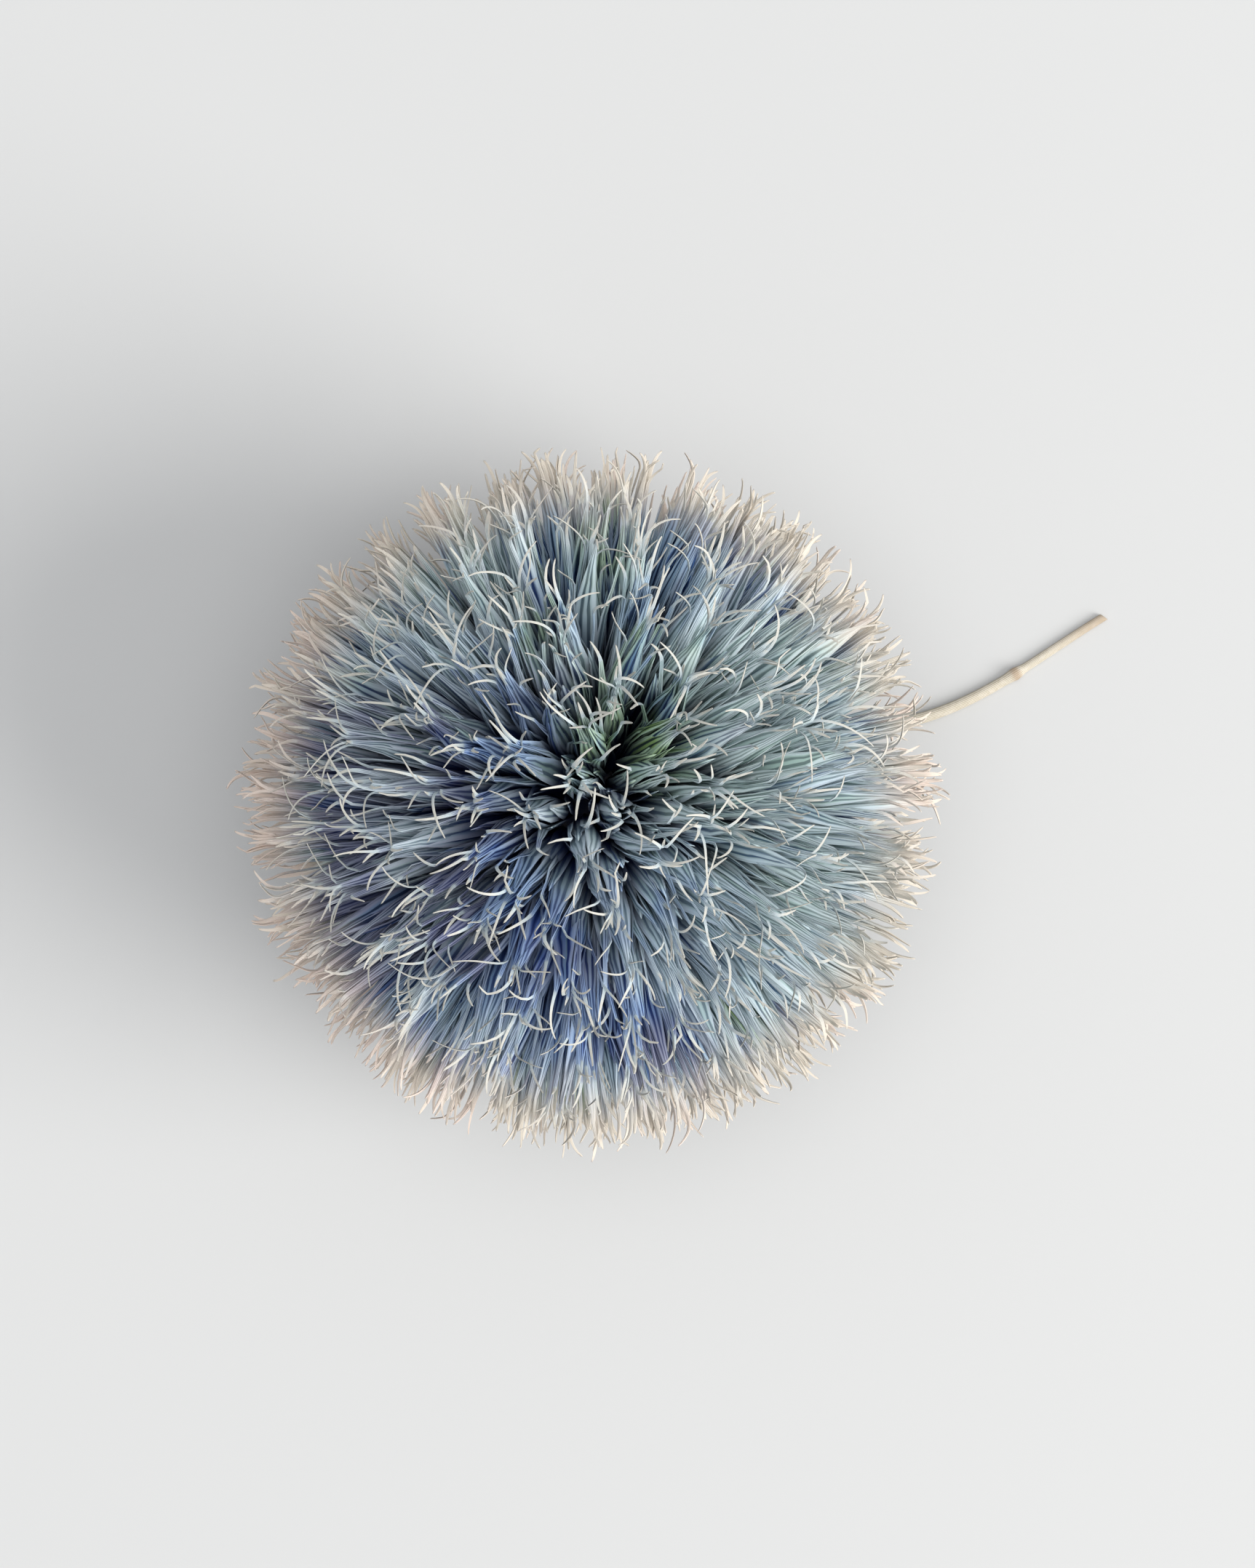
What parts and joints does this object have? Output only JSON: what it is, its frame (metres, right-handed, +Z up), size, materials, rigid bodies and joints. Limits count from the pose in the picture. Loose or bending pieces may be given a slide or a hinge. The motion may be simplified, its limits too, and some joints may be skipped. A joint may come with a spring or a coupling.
{
  "type": "globe thistle flower head",
  "caption": "Round dried flower head of blue-grey bristly florets with pale hooked awns, lying on its side with a short thin cut stem.",
  "frame": {"origin": "on the surface the head lies on, straight under its centre, at the blunt tip of its lowest floret", "axes": "+Z up, away from the surface; +X level, 14 degrees from the side on which the stem leaves; +Y level"},
  "size_m": [0.0584, 0.046, 0.0422],
  "materials": {
    "bracts": "matt, dry, finely ribbed, paling to ivory at the awns",
    "stem": "matt, dry, finely furrowed"
  },
  "bodies": {
    "root": {"flower_head": "bracts", "stem": "stem"}
  },
  "joints": []
}
